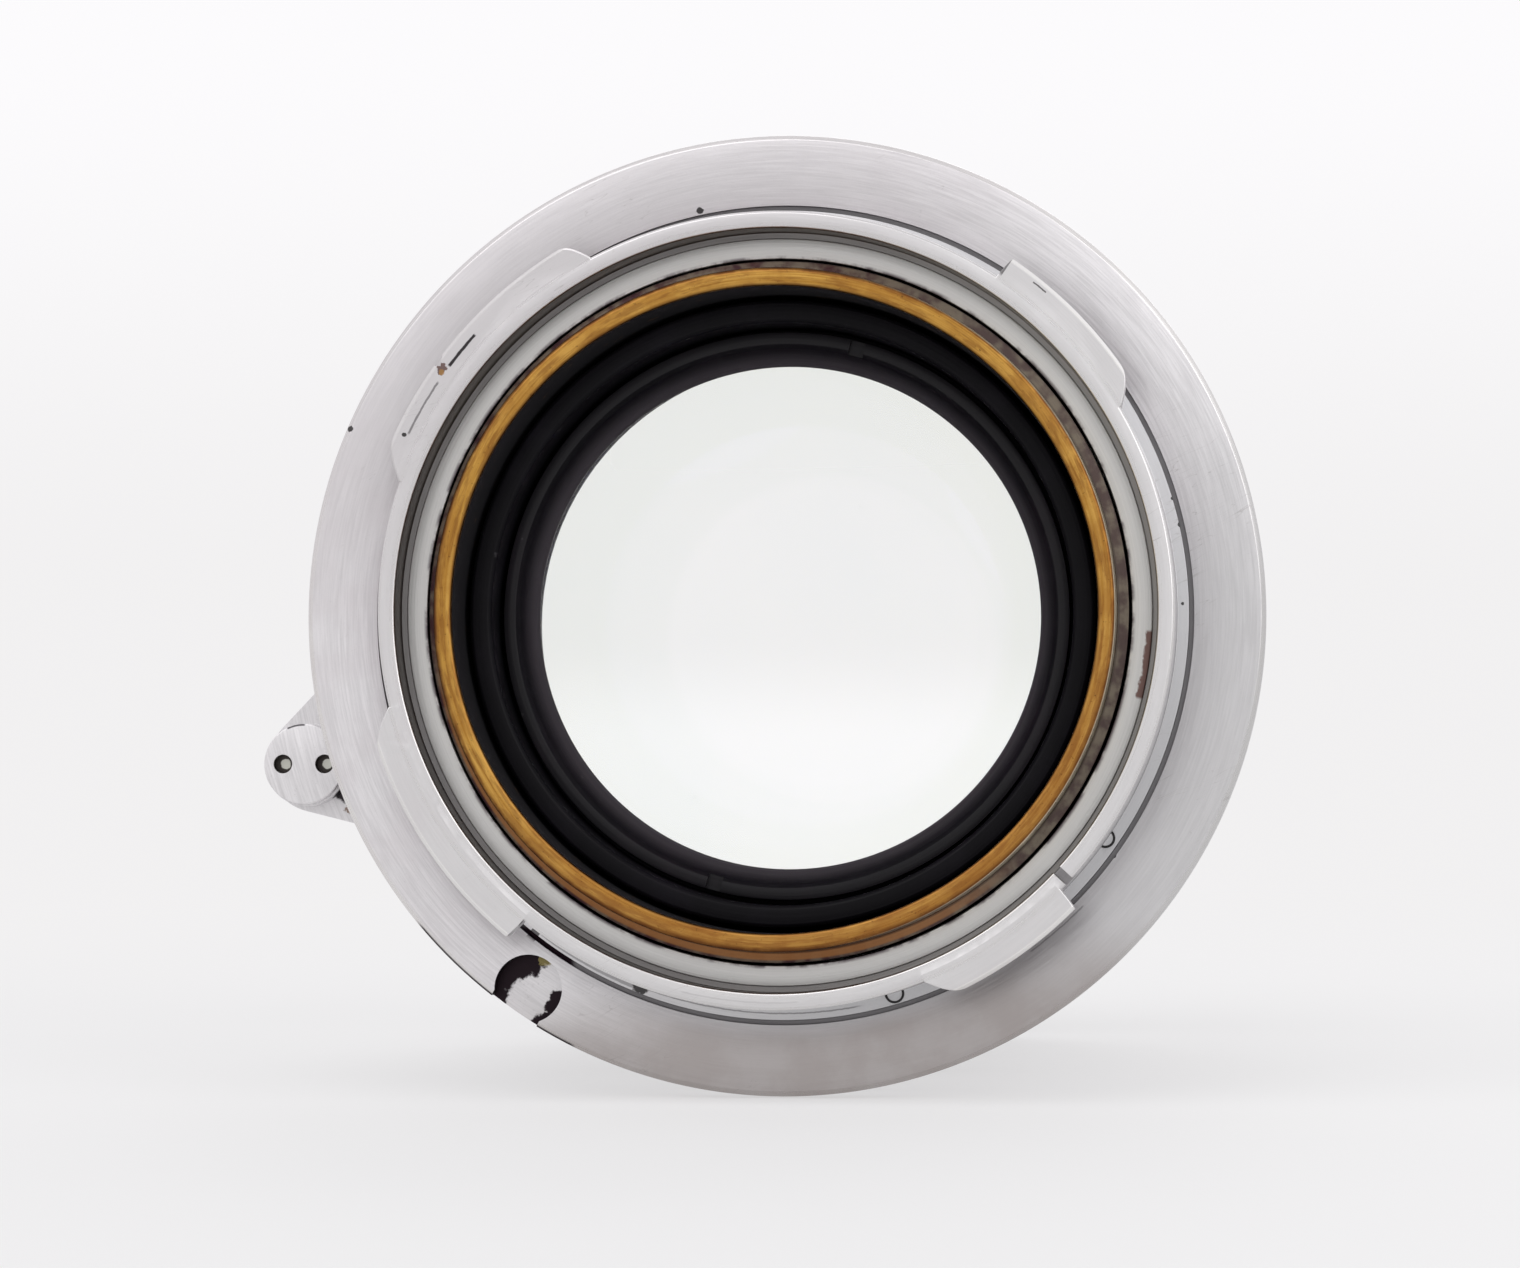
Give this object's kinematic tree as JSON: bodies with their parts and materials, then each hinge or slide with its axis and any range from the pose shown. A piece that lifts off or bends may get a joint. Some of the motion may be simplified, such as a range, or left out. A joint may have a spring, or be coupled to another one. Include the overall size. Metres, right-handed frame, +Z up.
{
  "type": "camera lens",
  "caption": "Small fast standard lens for a rangefinder camera, with a bayonet mount, brass coupling barrel, focus lever, aperture ring and iris.",
  "frame": {"origin": "centre of the camera bayonet, where the optical axis meets the flange's face that rests on the camera", "axes": "+Y along the optical axis from the bayonet to the front glass, +Z up, +X to the right as seen from behind"},
  "size_m": [0.0539, 0.0543, 0.0506],
  "materials": {
    "satin_chrome": "satin chrome on brass, finely turned",
    "grey_metal": "turned, matt",
    "brass": "bare turned brass, tarnished",
    "black_metal": "black, semi matt",
    "steel": "bright steel",
    "blade_steel": "blackened spring steel",
    "red_enamel": "gloss enamel",
    "optical_glass": "polished and coated"
  },
  "bodies": {
    "mount": {"bayonet_flange": "satin_chrome", "fixed_sleeve": "grey_metal", "depth_scale_ring": "satin_chrome", "focus_retaining_ring": "grey_metal", "flange_screw_1": "steel", "flange_screw_2": "steel", "flange_screw_3": "steel", "flange_screw_4": "steel", "alignment_bead": "red_enamel", "infinity_catch": "satin_chrome", "catch_screw": "steel"},
    "focusing": {"focus_ring": "satin_chrome", "focus_lever": "satin_chrome", "lever_screw_1": "steel", "lever_screw_2": "steel", "lever_nut": "satin_chrome", "lock_spring": "steel"},
    "lock": {"lock_button": "satin_chrome"},
    "head": {"coupling_barrel": "brass", "follower_pin_1": "steel", "follower_pin_2": "steel", "head_shell": "satin_chrome", "rear_cell": "black_metal", "rear_retaining_ring": "black_metal", "rear_glass": "optical_glass", "rear_inner_glass": "optical_glass", "rear_flint_glass": "optical_glass", "inner_retaining_ring": "black_metal", "iris_housing": "black_metal", "front_cell": "black_metal", "front_flint_glass": "optical_glass", "front_inner_glass": "optical_glass", "lens_spacer": "black_metal", "front_glass": "optical_glass", "front_retaining_ring": "black_metal", "trim_ring": "black_metal", "front_sleeve": "satin_chrome"},
    "aperture": {"aperture_ring": "satin_chrome", "drive_screw": "steel", "cam_ring": "grey_metal"},
    "blade_1": {"iris_blade_1": "blade_steel"},
    "blade_2": {"iris_blade_2": "blade_steel"},
    "blade_3": {"iris_blade_3": "blade_steel"},
    "blade_4": {"iris_blade_4": "blade_steel"},
    "blade_5": {"iris_blade_5": "blade_steel"},
    "blade_6": {"iris_blade_6": "blade_steel"},
    "blade_7": {"iris_blade_7": "blade_steel"},
    "blade_8": {"iris_blade_8": "blade_steel"},
    "blade_9": {"iris_blade_9": "blade_steel"},
    "blade_10": {"iris_blade_10": "blade_steel"}
  },
  "joints": [
    {"name": "focus_turn", "type": "hinge", "parent": "mount", "child": "focusing", "pos_m": [0, 0.01, 0], "axis": [0, 1, 0], "range_deg": [-38, 67]},
    {"name": "head_slide", "type": "slide", "parent": "mount", "child": "head", "axis": [0, 1, 0], "range_m": [-0.0017, 0.00097]},
    {"name": "lock_press", "type": "slide", "parent": "focusing", "child": "lock", "axis": [0, -1, 0], "range_m": [0, 0.0012], "stiffness_N_per_m": 700, "springref_m": -0.001, "deforming": ["lock_spring"]},
    {"name": "aperture_turn", "type": "hinge", "parent": "head", "child": "aperture", "pos_m": [0, 0.0256, 0], "axis": [0, -1, 0], "range_deg": [0, 42]},
    {"name": "blade_1_turn", "type": "hinge", "parent": "head", "child": "blade_1", "pos_m": [0.0178, 0.0234, 0], "axis": [0, -1, 0], "range_deg": [0, 32.6]},
    {"name": "blade_2_turn", "type": "hinge", "parent": "head", "child": "blade_2", "pos_m": [0.0144, 0.0234, 0.01046], "axis": [0, -1, 0], "range_deg": [0, 32.6]},
    {"name": "blade_3_turn", "type": "hinge", "parent": "head", "child": "blade_3", "pos_m": [0.0055, 0.0234, 0.01693], "axis": [0, -1, 0], "range_deg": [0, 32.6]},
    {"name": "blade_4_turn", "type": "hinge", "parent": "head", "child": "blade_4", "pos_m": [-0.0055, 0.0234, 0.01693], "axis": [0, -1, 0], "range_deg": [0, 32.6]},
    {"name": "blade_5_turn", "type": "hinge", "parent": "head", "child": "blade_5", "pos_m": [-0.0144, 0.0234, 0.01046], "axis": [0, -1, 0], "range_deg": [0, 32.6]},
    {"name": "blade_6_turn", "type": "hinge", "parent": "head", "child": "blade_6", "pos_m": [-0.0178, 0.0234, 0], "axis": [0, -1, 0], "range_deg": [0, 32.6]},
    {"name": "blade_7_turn", "type": "hinge", "parent": "head", "child": "blade_7", "pos_m": [-0.0144, 0.0234, -0.01046], "axis": [0, -1, 0], "range_deg": [0, 32.6]},
    {"name": "blade_8_turn", "type": "hinge", "parent": "head", "child": "blade_8", "pos_m": [-0.0055, 0.0234, -0.01693], "axis": [0, -1, 0], "range_deg": [0, 32.6]},
    {"name": "blade_9_turn", "type": "hinge", "parent": "head", "child": "blade_9", "pos_m": [0.0055, 0.0234, -0.01693], "axis": [0, -1, 0], "range_deg": [0, 32.6]},
    {"name": "blade_10_turn", "type": "hinge", "parent": "head", "child": "blade_10", "pos_m": [0.0144, 0.0234, -0.01046], "axis": [0, -1, 0], "range_deg": [0, 32.6]}
  ],
  "couplings": [
    {"joint": "head_slide", "follows": "focus_turn", "m_per_rad": -0.0014483},
    {"joint": "blade_1_turn", "follows": "aperture_turn", "ratio": 0.77286},
    {"joint": "blade_2_turn", "follows": "aperture_turn", "ratio": 0.77286},
    {"joint": "blade_3_turn", "follows": "aperture_turn", "ratio": 0.77286},
    {"joint": "blade_4_turn", "follows": "aperture_turn", "ratio": 0.77286},
    {"joint": "blade_5_turn", "follows": "aperture_turn", "ratio": 0.77286},
    {"joint": "blade_6_turn", "follows": "aperture_turn", "ratio": 0.77286},
    {"joint": "blade_7_turn", "follows": "aperture_turn", "ratio": 0.77286},
    {"joint": "blade_8_turn", "follows": "aperture_turn", "ratio": 0.77286},
    {"joint": "blade_9_turn", "follows": "aperture_turn", "ratio": 0.77286},
    {"joint": "blade_10_turn", "follows": "aperture_turn", "ratio": 0.77286}
  ]
}
